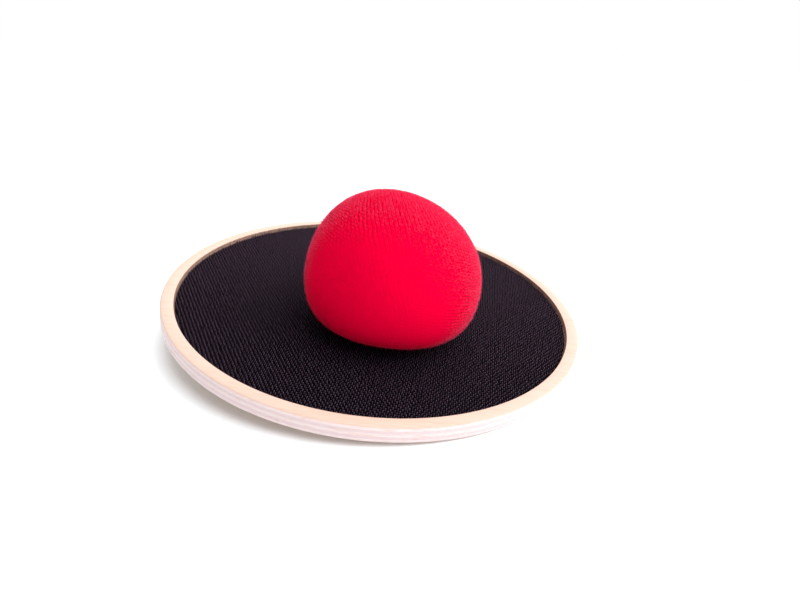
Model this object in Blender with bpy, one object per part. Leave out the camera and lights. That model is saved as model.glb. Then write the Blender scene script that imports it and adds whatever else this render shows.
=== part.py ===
"""Catch paddle with its ball: a rimmed plywood disc, a hook face, a hand strap and a soft knitted ball.

Metres, +Z up. The hook face looks up and the hand strap is pressed flat under the board, as on a table.
The origin is under the middle of the disc, on the surface that the folded strap rests on.
"""

import math

import bmesh
import bpy
from mathutils import Matrix, Vector

# Board and rim, both of birch plywood
BOARD_DIAMETER = 0.180
BRIDGE_THICKNESS = 0.0016       # wood left under the strap where it crosses the front of the board
RIM_WIDTH = 0.0052
RECESS_DEPTH = 0.00055          # how far the hook tips lie below the rim's top
EDGE_ROUNDING = 0.0007          # sanded outer edges

# Hook face
HOOK_SHEET_THICKNESS = 0.0016
ADHESIVE_THICKNESS = 0.0002
PAD_CLEARANCE = 0.0005          # all round, between the hook sheet and the rim
GLUE_LINE = 0.00005
HOOK_ROW_SPACING = 0.00119
ROWS_PER_RIB = 2                # rows of hooks gathered into one rib of the sheet, and left out beside it
RIB_HEIGHT = 0.0009
HOOK_ROW_TURN = -5.5            # degrees from the strap's direction

# Hand strap
STRAP_WIDTH = 0.020
STRAP_THICKNESS = 0.0014
OUTER_SLOT_INSET = 0.019        # from the board's edge to the middle of the outer slots
BRIDGE_WIDTH = 0.0094           # wood between an inner and an outer slot
SLOT_SIDE_CLEARANCE = 0.0006
SLOT_END_CLEARANCE = 0.0010
BEND_RADIUS = 0.0013            # of the webbing's middle line round the bridges
LEG_RUN = 0.025                 # from an inner slot to the strap's flat middle
LEG_FLAT_PULL = 0.55            # share of a leg's run that pulls its curve flat
LEG_STEEP_PULL = 0.75           # share of its rise that pulls it steep at the slot
TAIL_FLAT_PULL = 0.70           # the same for the tail
TAIL_STEEP_PULL = 0.80
HAND_GAP = 0.0048               # between the board's back and the pressed strap
TAIL_LENGTH = 0.019             # the end that peels off, from its fold line to its cut end
PATCH_THICKNESS = 0.0008        # hook patch on the tail
PATCH_MARGIN = 0.0010           # webbing left bare round the patch
TACK_LENGTH = 0.015             # sewn bars across the strap's fixed end
TACK_WIDTH = 0.0016
TACK_THICKNESS = 0.0006
TACK_SPACING = 0.0034

# Ball
BALL_RADIUS = 0.0351            # across
BALL_RISE = 0.0339              # from its middle level to its top
BALL_SINK = 0.0197              # from its middle level to the flat it sits on
BALL_FLAT_BLEND = 0.0161        # height over which the side rolls into the flat
BALL_TAPER = 0.077              # share by which its upper half widens, and its lower half narrows
BALL_LEAN = -0.035              # sideways lean for each unit of height
BALL_PLACE = (0.0063, -0.0220)  # of its middle on the hook face
THREE_SWELLS = 0.00098          # height of three soft swells round the stuffing
THREE_SWELLS_TURN = -0.281      # radians from the top to the first of them, three times over
FOUR_SWELLS = 0.00039           # and of four smaller ones
FOUR_SWELLS_TURN = -2.337
COVER_THICKNESS = 0.0015
GATHER_OPENING = 0.0022         # radius of the hole that the cover is drawn up to
GATHER_DEPTH = 0.0030
GATHER_SPREAD = 0.0080          # radius over which the cover dips to the gather
THREAD_DIAMETER = 0.0010

PLAY = 0.0003                   # between pieces that lie against each other

# Fineness of the round shapes
DISC_STEPS = 128
BALL_SPOKES = 36
COVER_RINGS = 20
LINING_RINGS = 13
THREAD_SIDES = 8
BEND_STEPS = 5
LEG_STEPS = 18

# Levels, from the surface under the strap upwards
flap_middle = STRAP_THICKNESS / 2
patch_bottom = STRAP_THICKNESS + PLAY
crown_bottom = patch_bottom + PATCH_THICKNESS + PLAY
crown_middle = crown_bottom + STRAP_THICKNESS / 2
back_face = crown_bottom + STRAP_THICKNESS + HAND_GAP
pocket_depth = STRAP_THICKNESS + 2 * PLAY
bridge_top = back_face + BRIDGE_THICKNESS
board_top = bridge_top + pocket_depth
adhesive_bottom = board_top + GLUE_LINE
sheet_bottom = adhesive_bottom + ADHESIVE_THICKNESS + GLUE_LINE
hook_tips = sheet_bottom + HOOK_SHEET_THICKNESS
rim_top = hook_tips + RECESS_DEPTH
ball_bottom = hook_tips + PLAY

# Places along the strap, from the middle of the disc outwards
board_radius = BOARD_DIAMETER / 2
recess_radius = board_radius - RIM_WIDTH
slot_width = STRAP_THICKNESS + 2 * SLOT_SIDE_CLEARANCE
slot_length = STRAP_WIDTH + 2 * SLOT_END_CLEARANCE
outer_slot = board_radius - OUTER_SLOT_INSET
inner_slot = outer_slot - BRIDGE_WIDTH - slot_width
crown_half = inner_slot - LEG_RUN
tail_end = crown_half - TAIL_LENGTH
RIGHT = 1
LEFT = -1

for old in list(bpy.data.objects):
    bpy.data.objects.remove(old, do_unlink=True)


def plain_material(name, colour, roughness):
    """A Principled material of one colour."""
    material = bpy.data.materials.new(name)
    material.use_nodes = True
    shader = material.node_tree.nodes["Principled BSDF"]
    shader.inputs["Base Color"].default_value = (*colour, 1.0)
    shader.inputs["Roughness"].default_value = roughness
    shader.inputs["Metallic"].default_value = 0.0
    return material


birch = plain_material("birch_plywood", (0.85, 0.68, 0.52), 0.55)
hook_nylon = plain_material("hook_nylon", (0.020, 0.014, 0.020), 0.60)
clear_adhesive = plain_material("clear_adhesive", (0.60, 0.55, 0.45), 0.40)
strap_webbing = plain_material("strap_webbing", (0.022, 0.020, 0.024), 0.85)
black_thread = plain_material("black_thread", (0.015, 0.014, 0.016), 0.70)
red_knit = plain_material("red_knit", (0.88, 0.005, 0.040), 0.90)
red_thread = plain_material("red_thread", (0.70, 0.004, 0.030), 0.80)
white_filling = plain_material("white_filling", (0.85, 0.84, 0.82), 0.95)


def add_piece(name, bm, material, origin=(0.0, 0.0, 0.0)):
    """Make an object of the mesh, with its origin at the given point."""
    bmesh.ops.recalc_face_normals(bm, faces=bm.faces)
    bmesh.ops.translate(bm, verts=bm.verts, vec=-Vector(origin))
    mesh = bpy.data.meshes.new(name)
    bm.to_mesh(mesh)
    bm.free()
    mesh.materials.append(material)
    mesh.shade_smooth()
    mesh.set_sharp_from_angle(angle=math.radians(35))
    piece = bpy.data.objects.new(name, mesh)
    piece.location = origin
    bpy.context.collection.objects.link(piece)
    return piece


def turn(profile, closed):
    """Turn a profile of (radius, height) points about the disc's axis."""
    bm = bmesh.new()
    points = [bm.verts.new((radius, 0.0, height)) for radius, height in profile]
    edges = [bm.edges.new(pair) for pair in zip(points, points[1:])]
    if closed:
        edges.append(bm.edges.new((points[-1], points[0])))
    bmesh.ops.spin(bm, geom=points + edges, cent=(0, 0, 0), axis=(0, 0, 1),
                   angle=2 * math.pi, steps=DISC_STEPS, use_merge=True)
    bmesh.ops.remove_doubles(bm, verts=bm.verts, dist=1e-7)
    return bm


def rounded_corner(radius, height, start_angle, steps=4):
    """Quarter circle of (radius, height) points about a corner's centre, turning clockwise."""
    points = []
    for step in range(steps + 1):
        angle = start_angle - math.pi / 2 * step / steps
        points.append((radius + EDGE_ROUNDING * math.cos(angle), height + EDGE_ROUNDING * math.sin(angle)))
    return points


def add_cutter(name, bm):
    """Make a hidden object of the mesh, to cut with."""
    cutter = add_piece(name, bm, birch)
    cutter.hide_render = True
    cutter.display_type = "WIRE"
    return cutter


def slot_cutter(name, middle_x, width, length, bottom, top):
    """A hidden round-ended prism, long across the strap, that cuts a slot or a pocket."""
    bm = bmesh.new()
    straight = length / 2 - width / 2
    outline = []
    for end in (1, -1):
        for step in range(BEND_STEPS + 1):
            angle = math.pi * step / BEND_STEPS + (0 if end == 1 else math.pi)
            x = middle_x + width / 2 * math.cos(angle)
            y = end * straight + width / 2 * math.sin(angle)
            outline.append(bm.verts.new((x, y, bottom)))
    base = bm.faces.new(outline)
    grown = bmesh.ops.extrude_face_region(bm, geom=[base])
    risen = [item for item in grown["geom"] if isinstance(item, bmesh.types.BMVert)]
    bmesh.ops.translate(bm, verts=risen, vec=(0, 0, top - bottom))
    return add_cutter(name, bm)


def add_box(bm, low, high):
    """Add a box between two corners to the mesh."""
    made = bmesh.ops.create_cube(bm, size=1.0)
    size = Vector(high) - Vector(low)
    bmesh.ops.scale(bm, verts=made["verts"], vec=size)
    bmesh.ops.translate(bm, verts=made["verts"], vec=(Vector(low) + Vector(high)) / 2)


def cut(piece, cutter):
    """Take the cutter's shape out of the piece."""
    boolean = piece.modifiers.new(cutter.name, "BOOLEAN")
    boolean.operation = "DIFFERENCE"
    boolean.solver = "EXACT"
    boolean.object = cutter


# Board: a plywood disc with two pairs of strap slots, and a pocket in front of each bridge for the strap
bottom_corner = rounded_corner(board_radius - EDGE_ROUNDING, back_face + EDGE_ROUNDING, 0.0)
board_profile = [(0.0, board_top), (board_radius, board_top), *bottom_corner, (0.0, back_face)]
back_board = add_piece("back_board", turn(board_profile, closed=False), birch)
for side, side_name in ((RIGHT, "right"), (LEFT, "left")):
    for slot_name, slot_x in (("inner", inner_slot), ("outer", outer_slot)):
        cut(back_board, slot_cutter(f"cut_{slot_name}_slot_{side_name}", side * slot_x, slot_width,
                                    slot_length, back_face - slot_width, board_top + slot_width))
    pocket_ends = sorted((side * (inner_slot - slot_width), side * (outer_slot + slot_width)))
    pocket_half = slot_length / 2 + SLOT_END_CLEARANCE
    pocket = bmesh.new()
    add_box(pocket, (pocket_ends[0], -pocket_half, bridge_top),
            (pocket_ends[1], pocket_half, board_top + slot_width))
    cut(back_board, add_cutter(f"cut_pocket_{side_name}", pocket))

# Rim: a plywood ring glued on the front of the board
top_corner = rounded_corner(board_radius - EDGE_ROUNDING, rim_top - EDGE_ROUNDING, math.pi / 2)
rim_bottom = board_top + GLUE_LINE
rim_profile = [(recess_radius, rim_top), *top_corner, (board_radius, rim_bottom), (recess_radius, rim_bottom)]
add_piece("rim_ring", turn(rim_profile, closed=True), birch)


# Hook face: a sheet of nylon hooks on an adhesive film, both cut a little smaller than the recess
def flat_disc(name, radius, bottom, top, material):
    """A plain disc on the paddle's axis."""
    profile = [(0.0, top), (radius, top), (radius, bottom), (0.0, bottom)]
    return add_piece(name, turn(profile, closed=False), material)


pad_radius = recess_radius - PAD_CLEARANCE
flat_disc("pad_adhesive", pad_radius, adhesive_bottom, adhesive_bottom + ADHESIVE_THICKNESS, clear_adhesive)
hook_sheet = flat_disc("hook_sheet", pad_radius, sheet_bottom, hook_tips, hook_nylon)

# The hooks stand in rows across the sheet, gathered here into ribs with grooves between them
rib_width = ROWS_PER_RIB * HOOK_ROW_SPACING
outer_groove = int((pad_radius - rib_width) / (2 * rib_width))
grooves = bmesh.new()
for groove in range(-outer_groove, outer_groove + 1):
    groove_middle = 2 * rib_width * groove
    add_box(grooves, (-board_radius, groove_middle - rib_width / 2, hook_tips - RIB_HEIGHT),
            (board_radius, groove_middle + rib_width / 2, hook_tips + RIB_HEIGHT))
row_turn = Matrix.Rotation(math.radians(HOOK_ROW_TURN), 3, "Z")
bmesh.ops.rotate(grooves, verts=grooves.verts, cent=(0, 0, 0), matrix=row_turn)
cut(hook_sheet, add_cutter("cut_hook_grooves", grooves))


def join_rings(bm, ring, next_ring):
    """A band of faces between two rings of points."""
    for place in range(len(ring)):
        following = (place + 1) % len(ring)
        bm.faces.new((ring[place], ring[following], next_ring[following], next_ring[place]))


def webbing(name, middle_line, width, thickness, material, round_end=False, origin=(0.0, 0.0, 0.0)):
    """Flat webbing along a middle line of (x, z) points, square to it, with a cut or a rounded last end."""
    stations = []
    for index, point in enumerate(middle_line):
        before = Vector(middle_line[max(index - 1, 0)])
        after = Vector(middle_line[min(index + 1, len(middle_line) - 1)])
        along = (after - before).normalized()
        stations.append((Vector(point), along, thickness / 2))
    if round_end:
        tip, along, half = stations[-1]
        for step in range(1, BEND_STEPS + 1):
            angle = math.pi / 2 * step / BEND_STEPS
            stations.append((tip + along * half * math.sin(angle), along, half * math.cos(angle)))
    bm = bmesh.new()
    rows = []
    for point, along, half in stations:
        across = Vector((-along.y, along.x)) * half
        corners = [(point + across, -1), (point + across, 1), (point - across, 1), (point - across, -1)]
        rows.append([bm.verts.new((place.x, side * width / 2, place.y)) for place, side in corners])
    for row, next_row in zip(rows, rows[1:]):
        join_rings(bm, row, next_row)
    bm.faces.new(rows[0])
    if not round_end:
        bm.faces.new(rows[-1])
    bmesh.ops.remove_doubles(bm, verts=bm.verts, dist=1e-7)
    return add_piece(name, bm, material, origin)


def bend(centre, start_angle, turn_angle):
    """Points on a bend of the webbing's middle line."""
    points = []
    for step in range(BEND_STEPS + 1):
        angle = start_angle + turn_angle * step / BEND_STEPS
        points.append((centre[0] + BEND_RADIUS * math.cos(angle), centre[1] + BEND_RADIUS * math.sin(angle)))
    return points


def soft_curve(start, start_pull, end_pull, end):
    """Points on a cubic curve from start to end, pulled towards two points on the way."""
    points = []
    for step in range(LEG_STEPS + 1):
        t = step / LEG_STEPS
        weights = ((1 - t) ** 3, 3 * t * (1 - t) ** 2, 3 * t * t * (1 - t), t ** 3)
        corners = (start, start_pull, end_pull, end)
        points.append(tuple(sum(w * c[axis] for w, c in zip(weights, corners)) for axis in range(2)))
    return points


def on_side(points, side):
    """The same points on the left or the right of the disc."""
    return [(side * x, z) for x, z in points]


# Strap round the bridges: up the inner slot, over the bridge, down the outer slot
wrap_middle = bridge_top + PLAY + STRAP_THICKNESS / 2
wrap_bend = wrap_middle - BEND_RADIUS
over_bridge = [(inner_slot, back_face)]
over_bridge += bend((inner_slot + BEND_RADIUS, wrap_bend), math.pi, -math.pi / 2)
over_bridge += bend((outer_slot - BEND_RADIUS, wrap_bend), math.pi / 2, -math.pi / 2)

# On the left the strap comes out again as its tail
adjusting_wrap = over_bridge + [(outer_slot, back_face)]
webbing("strap_bridge_wrap", on_side(adjusting_wrap, LEFT), STRAP_WIDTH, STRAP_THICKNESS, strap_webbing)

# On the right it folds back under the bridge, where its end is sewn down with bar tacks
lap_middle = back_face - PLAY - STRAP_THICKNESS / 2
lap_end = inner_slot + STRAP_THICKNESS / 2 + PLAY
sewn_loop = over_bridge + bend((outer_slot - BEND_RADIUS, lap_middle + BEND_RADIUS), 0.0, -math.pi / 2)
sewn_loop.append((lap_end, lap_middle))
webbing("strap_sewn_loop", on_side(sewn_loop, RIGHT), STRAP_WIDTH, STRAP_THICKNESS, strap_webbing)

tack_top = lap_middle - STRAP_THICKNESS / 2 - PLAY
for name, place in (("bar_tack_inner", -1), ("bar_tack_outer", 1)):
    tack_x = RIGHT * ((inner_slot + outer_slot) / 2 + place * TACK_SPACING / 2)
    tack = bmesh.new()
    add_box(tack, (tack_x - TACK_WIDTH / 2, -TACK_LENGTH / 2, tack_top - TACK_THICKNESS),
            (tack_x + TACK_WIDTH / 2, TACK_LENGTH / 2, tack_top))
    add_piece(name, tack, black_thread)

# Flat middle of the strap, which the hand lifts off the board's back
crown_line = [(-crown_half, crown_middle), (crown_half, crown_middle)]
webbing("strap_crown", crown_line, STRAP_WIDTH, STRAP_THICKNESS, strap_webbing)

# Legs from the flat middle up into the inner slots
leg_start = (crown_half + PLAY, crown_middle)
leg_end = (inner_slot, back_face - PLAY)
leg_rise = leg_end[1] - leg_start[1]
leg = soft_curve(leg_start, (leg_start[0] + LEG_RUN * LEG_FLAT_PULL, crown_middle),
                 (inner_slot, leg_end[1] - leg_rise * LEG_STEEP_PULL), leg_end)
webbing("strap_right_leg", on_side(leg, RIGHT), STRAP_WIDTH, STRAP_THICKNESS, strap_webbing)
webbing("strap_left_leg", on_side(leg, LEFT), STRAP_WIDTH, STRAP_THICKNESS, strap_webbing)

# Tail: from the left outer slot back under the strap to its fold line
tail_start = (crown_half + STRAP_THICKNESS / 2 + PLAY, flap_middle)
tail_top = (outer_slot, back_face - PLAY)
tail_run = tail_top[0] - tail_start[0]
tail_rise = tail_top[1] - tail_start[1]
tail = soft_curve(tail_start, (tail_start[0] + tail_run * TAIL_FLAT_PULL, flap_middle),
                  (outer_slot, tail_top[1] - tail_rise * TAIL_STEEP_PULL), tail_top)
webbing("strap_tail_leg", on_side(tail, LEFT), STRAP_WIDTH, STRAP_THICKNESS, strap_webbing)

# Loose end of the tail, turning on its fold line, with the hook patch that grips the strap
fold_line = (LEFT * crown_half, 0.0, flap_middle)
flap_line = [(LEFT * tail_end, flap_middle), (LEFT * crown_half, flap_middle)]
webbing("tail_flap", flap_line, STRAP_WIDTH, STRAP_THICKNESS, strap_webbing, round_end=True, origin=fold_line)
patch_middle = patch_bottom + PATCH_THICKNESS / 2
patch_ends = (tail_end + PATCH_MARGIN, crown_half - PATCH_MARGIN)
patch_line = [(LEFT * end, patch_middle) for end in patch_ends]
patch_width = STRAP_WIDTH - 2 * PATCH_MARGIN
webbing("tail_hook_patch", patch_line, patch_width, PATCH_THICKNESS, hook_nylon, origin=fold_line)

ball_middle = Vector((*BALL_PLACE, ball_bottom + BALL_SINK))


def ball_point(polar, spoke, inset):
    """A point of the ball, inset from its outside, at an angle from its gather and one round it.

    The gather looks along +Y. The ball is flat where it sits on the hooks, leans a little to one side,
    and swells unevenly, as hand-stuffed things do.
    """
    ray = Vector((math.sin(polar) * math.sin(spoke), math.cos(polar), math.sin(polar) * math.cos(spoke)))
    dip = GATHER_DEPTH * math.exp(-(BALL_RADIUS * polar / GATHER_SPREAD) ** 2)
    three = THREE_SWELLS * math.cos(3 * spoke - THREE_SWELLS_TURN)
    four = FOUR_SWELLS * math.cos(4 * spoke - FOUR_SWELLS_TURN)
    swell = (three + four) * math.sin(polar) ** 2
    across = (BALL_RADIUS + swell) * (1 + BALL_TAPER * ray.z) - inset - dip
    height = ray.z * (BALL_RISE + swell - inset)
    flat = inset - BALL_SINK
    if height < flat - BALL_FLAT_BLEND:
        height = flat
    elif height < flat + BALL_FLAT_BLEND:
        height = flat + (height - flat + BALL_FLAT_BLEND) ** 2 / (4 * BALL_FLAT_BLEND)
    return ball_middle + Vector((ray.x * across + BALL_LEAN * height, ray.y * across, height))


def ball_grid(bm, inset, first_polar, rings):
    """Rings of points from near the gather to the last ring before the far side, and the far point."""
    grid = []
    for ring in range(rings):
        polar = first_polar + (math.pi - first_polar) * ring / rings
        grid.append([bm.verts.new(ball_point(polar, 2 * math.pi * spoke / BALL_SPOKES, inset))
                     for spoke in range(BALL_SPOKES)])
    far_point = bm.verts.new(ball_point(math.pi, 0.0, inset))
    for ring, next_ring in zip(grid, grid[1:]):
        join_rings(bm, ring, next_ring)
    for spoke in range(BALL_SPOKES):
        bm.faces.new((grid[-1][spoke], grid[-1][(spoke + 1) % BALL_SPOKES], far_point))
    return grid


# Cover: one knitted piece drawn together at the back of the ball, open at the gather
cover = bmesh.new()
opening_angle = GATHER_OPENING / BALL_RADIUS
outside = ball_grid(cover, 0.0, opening_angle, COVER_RINGS)
inside = ball_grid(cover, COVER_THICKNESS, opening_angle, LINING_RINGS)
join_rings(cover, outside[0], inside[0])
add_piece("ball_cover", cover, red_knit, origin=ball_middle)

# Filling: soft wadding that fills the cover, on the same rings as the cover's inside
filling = bmesh.new()
filling_inset = COVER_THICKNESS + PLAY
filling_grid = ball_grid(filling, filling_inset, opening_angle, LINING_RINGS)
near_point = filling.verts.new(ball_point(0.0, 0.0, filling_inset))
for index in range(BALL_SPOKES):
    filling.faces.new((filling_grid[0][(index + 1) % BALL_SPOKES], filling_grid[0][index], near_point))
add_piece("ball_filling", filling, white_filling, origin=ball_middle)

# Thread that draws the cover together, round the opening
thread = bmesh.new()
thread_radius = THREAD_DIAMETER / 2
thread_polar = opening_angle + (thread_radius + PLAY) / BALL_RADIUS
thread_rings = []
for index in range(BALL_SPOKES):
    spoke_angle = 2 * math.pi * index / BALL_SPOKES
    on_cover = ball_point(thread_polar, spoke_angle, -(thread_radius + PLAY))
    outward = Vector((math.sin(spoke_angle), 0.0, math.cos(spoke_angle)))
    ring = []
    for side_index in range(THREAD_SIDES):
        angle = 2 * math.pi * side_index / THREAD_SIDES
        offset = outward * math.cos(angle) + Vector((0.0, 1.0, 0.0)) * math.sin(angle)
        ring.append(thread.verts.new(on_cover + offset * thread_radius))
    thread_rings.append(ring)
for ring, next_ring in zip(thread_rings, thread_rings[1:] + thread_rings[:1]):
    join_rings(thread, ring, next_ring)
add_piece("ball_gather_thread", thread, red_thread, origin=ball_middle)
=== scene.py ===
import math

import bmesh
import bpy
import numpy as np
from mathutils import Matrix, Vector


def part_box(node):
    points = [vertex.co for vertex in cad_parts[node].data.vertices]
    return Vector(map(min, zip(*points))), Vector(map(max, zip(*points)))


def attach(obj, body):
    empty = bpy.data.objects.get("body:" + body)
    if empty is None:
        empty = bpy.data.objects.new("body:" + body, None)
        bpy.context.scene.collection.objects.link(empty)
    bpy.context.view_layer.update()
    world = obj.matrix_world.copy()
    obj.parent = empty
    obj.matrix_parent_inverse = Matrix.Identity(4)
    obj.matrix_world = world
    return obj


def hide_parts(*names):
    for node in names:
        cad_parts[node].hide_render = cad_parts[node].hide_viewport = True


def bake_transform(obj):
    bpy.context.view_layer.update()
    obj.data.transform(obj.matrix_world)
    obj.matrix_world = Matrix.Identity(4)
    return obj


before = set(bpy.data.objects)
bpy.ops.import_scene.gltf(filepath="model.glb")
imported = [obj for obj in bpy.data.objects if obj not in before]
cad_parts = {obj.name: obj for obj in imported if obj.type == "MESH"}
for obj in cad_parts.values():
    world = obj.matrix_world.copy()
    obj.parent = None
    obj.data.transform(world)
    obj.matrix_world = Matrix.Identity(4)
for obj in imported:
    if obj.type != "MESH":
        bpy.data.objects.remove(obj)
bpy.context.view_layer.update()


# Back board: a disc of birch plywood, cut by laser, with two pairs of slots for the hand strap.
# Its lower edge is sanded round, and the laser leaves the slots brown.
# A pale green disc and a broken ring are printed on its back.
MM = 0.001


def start_from(primitive, name, **sizes):
    """Add a primitive to model from, selected alone, with its place in its mesh."""
    bpy.ops.object.select_all(action="DESELECT")
    primitive(**sizes)
    piece = bpy.context.object
    piece.name = name
    bpy.ops.object.transform_apply(location=True, rotation=True, scale=True)
    return piece


def pick(piece, kind, test):
    """Go into edit mode and select the edges or faces whose middle passes the test."""
    bpy.context.view_layer.objects.active = piece
    bpy.ops.object.mode_set(mode="EDIT")
    bpy.ops.mesh.select_mode(type=kind)
    bpy.ops.mesh.select_all(action="DESELECT")
    shape = bmesh.from_edit_mesh(piece.data)
    for item in {"EDGE": shape.edges, "FACE": shape.faces}[kind]:
        middle = sum((corner.co for corner in item.verts), Vector()) / len(item.verts)
        item.select_set(test(middle))
    bmesh.update_edit_mesh(piece.data)


def leave_edit():
    """Go back to object mode."""
    bpy.ops.object.mode_set(mode="OBJECT")


def round_edges(piece, test, radius, steps):
    """Round the edges whose middle passes the test."""
    pick(piece, "EDGE", test)
    bpy.ops.mesh.bevel(offset=radius, segments=steps, affect="EDGES")
    leave_edit()


def finish_with(piece, kind, **settings):
    """Add a modifier with these settings and apply it."""
    modifier = piece.modifiers.new(kind.lower(), kind)
    for name, value in settings.items():
        setattr(modifier, name, value)
    bpy.context.view_layer.objects.active = piece
    bpy.ops.object.modifier_apply(modifier=modifier.name)


def cut_away(piece, cutter):
    """Take the cutter's shape out of the piece, and the cutter out of the scene."""
    finish_with(piece, "BOOLEAN", object=cutter, operation="DIFFERENCE", solver="EXACT")
    bpy.data.objects.remove(cutter)


def smooth(piece, angle=35):
    """Shade the piece smooth, and leave edges sharper than the angle crisp."""
    bpy.ops.object.select_all(action="DESELECT")
    piece.select_set(True)
    bpy.context.view_layer.objects.active = piece
    bpy.ops.object.shade_smooth_by_angle(angle=math.radians(angle))


def srgb(hex_colour):
    """An sRGB hex colour as linear RGBA."""
    shares = [int(hex_colour[place:place + 2], 16) / 255 for place in (1, 3, 5)]
    linear = [share / 12.92 if share <= 0.04045 else ((share + 0.055) / 1.055) ** 2.4 for share in shares]
    return (*linear, 1.0)


def new_finish(name, constants):
    """A material and its shader, with these constants on the shader's sockets."""
    material = bpy.data.materials.new(name)
    material.use_nodes = True
    shader = material.node_tree.nodes["Principled BSDF"]
    for socket, value in constants.items():
        shader.inputs[socket].default_value = value
    return material, shader


def feed(material, source, node, socket):
    """Link an output to a socket of a node that already stands."""
    material.node_tree.links.new(source, node.inputs[socket])


def add_node(material, kind, values=None, links=None, **settings):
    """Add a node with its settings, socket values and incoming links."""
    node = material.node_tree.nodes.new(kind)
    for name, value in settings.items():
        setattr(node, name, value)
    for socket, value in (values or {}).items():
        node.inputs[socket].default_value = value
    for socket, source in (links or {}).items():
        feed(material, source, node, socket)
    return node


def maths(material, operation, *terms, kind="ShaderNodeMath", result=0):
    """A maths node on numbers and outputs, in their order, and its result."""
    node = add_node(material, kind, operation=operation)
    for socket, term in enumerate(terms):
        if isinstance(term, bpy.types.NodeSocket):
            feed(material, term, node, socket)
        else:
            node.inputs[socket].default_value = term
    return node.outputs[result]


def split(material, place):
    """The X, Y and Z of a place."""
    return add_node(material, "ShaderNodeSeparateXYZ", links={0: place}).outputs


def ranged(material, value, start, end, low=0.0, high=1.0):
    """A value between start and end, brought to between low and high."""
    values = {"From Min": start, "From Max": end, "To Min": low, "To Max": high}
    return add_node(material, "ShaderNodeMapRange", values, {"Value": value}).outputs["Result"]


def scaled(material, place, scale):
    """A place with each axis multiplied."""
    return add_node(material, "ShaderNodeMapping", {"Scale": scale}, {"Vector": place}).outputs["Vector"]


def speckle(material, place, size, **more):
    """Noise in patches of about this size."""
    noise = add_node(material, "ShaderNodeTexNoise", {"Scale": 1 / size, **more}, {"Vector": place})
    return noise.outputs["Fac"]


def toned(material, value, *bands):
    """Colours along a value, each band a position from 0 to 1 and its colour."""
    ramp = add_node(material, "ShaderNodeValToRGB", links={"Fac": value})
    stops = ramp.color_ramp.elements
    for index, (position, colour) in enumerate(bands):
        if index >= len(stops):
            stops.new(position)
        stops[index].position = position
        stops[index].color = srgb(colour)
    return ramp.outputs["Color"]


def multiplied(material, share, colour, tone):
    """A colour multiplied by a tone, as far as the share says."""
    mix = add_node(material, "ShaderNodeMix", {0: share}, {6: colour, 7: tone},
                   data_type="RGBA", blend_type="MULTIPLY")
    return mix.outputs[2]


def emboss(material, shader, height, strength, depth):
    """Raise the shader's surface by a height."""
    bump = add_node(material, "ShaderNodeBump", {"Strength": strength, "Distance": depth}, {"Height": height})
    feed(material, bump.outputs["Normal"], shader, "Normal")


board_low, board_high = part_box("back_board")
board_radius = board_high.x
board_thickness = board_high.z - board_low.z
board_middle = (board_high.z + board_low.z) / 2
board_rounding = 0.7 * MM
rounding_steps = 5
pad_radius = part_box("hook_sheet")[1].x
pad_clearance = 0.5 * MM
recess_radius = pad_radius + pad_clearance
disc_steps = 256
near = 0.1 * MM
level_normal = 0.5

crown_low, crown_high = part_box("strap_crown")
strap_thickness = crown_high.z - crown_low.z
strap_width = crown_high.y - crown_low.y
inner_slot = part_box("strap_right_leg")[1].x - strap_thickness / 2
outer_slot = -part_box("strap_bridge_wrap")[0].x - strap_thickness / 2
slot_width = strap_thickness + 1.2 * MM
slot_length = strap_width + 2.0 * MM
slot_rounding = 0.49 * slot_width
slot_rounding_steps = 6
pocket_depth = strap_thickness + 0.6 * MM
pocket_length = slot_length + 2.0 * MM
cut_reach = 0.96 * board_radius

board = start_from(bpy.ops.mesh.primitive_cylinder_add, "plywood_board", vertices=disc_steps,
                   radius=board_radius, depth=board_thickness, location=(0, 0, board_middle))
round_edges(board, lambda p: p.z < board_low.z + near, board_rounding, rounding_steps)
pick(board, "FACE", lambda p: p.z > board_high.z - near)
bpy.ops.mesh.inset(thickness=board_radius - recess_radius)
leave_edit()
for side in (1, -1):
    for slot_x in (inner_slot, outer_slot):
        slot = start_from(bpy.ops.mesh.primitive_cube_add, "slot_cutter", size=1.0,
                          location=(side * slot_x, 0, board_middle),
                          scale=(slot_width, slot_length, 2 * board_thickness))
        round_edges(slot, lambda p: abs(p.z - board_middle) < near, slot_rounding, slot_rounding_steps)
        cut_away(board, slot)
    pocket = start_from(bpy.ops.mesh.primitive_cube_add, "pocket_cutter", size=1.0,
                        location=(side * (inner_slot + outer_slot) / 2, 0, board_high.z),
                        scale=(outer_slot - inner_slot + 2 * slot_width, pocket_length, 2 * pocket_depth))
    cut_away(board, pocket)
smooth(board)

# Birch plywood, sanded and left bare: pale, matt, with fine grain along the face veneers.
# On the edge its plies show as pinkish bands, the cross plies a little darker.
rim_low, rim_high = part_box("rim_ring")
grain_width = 0.7 * MM
grain_length = 14 * MM
face_veneer = "#cfb0a0"
light_ply = "#ebdad9"
cross_ply = "#e0cacb"
ply_bands = ((0.00, face_veneer), (0.05, light_ply), (0.20, light_ply), (0.23, cross_ply), (0.40, cross_ply),
             (0.43, light_ply), (0.60, light_ply), (0.63, cross_ply), (0.79, cross_ply), (0.82, light_ply),
             (0.93, light_ply), (0.985, face_veneer))
print_radius = 32 * MM
print_ring = (63.5 * MM, 74.5 * MM)
print_gap_half = 21 * MM
print_edge = 0.25 * MM
print_green = "#9fd8ae"
print_cover = 0.9
grain_share = 0.8

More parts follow.
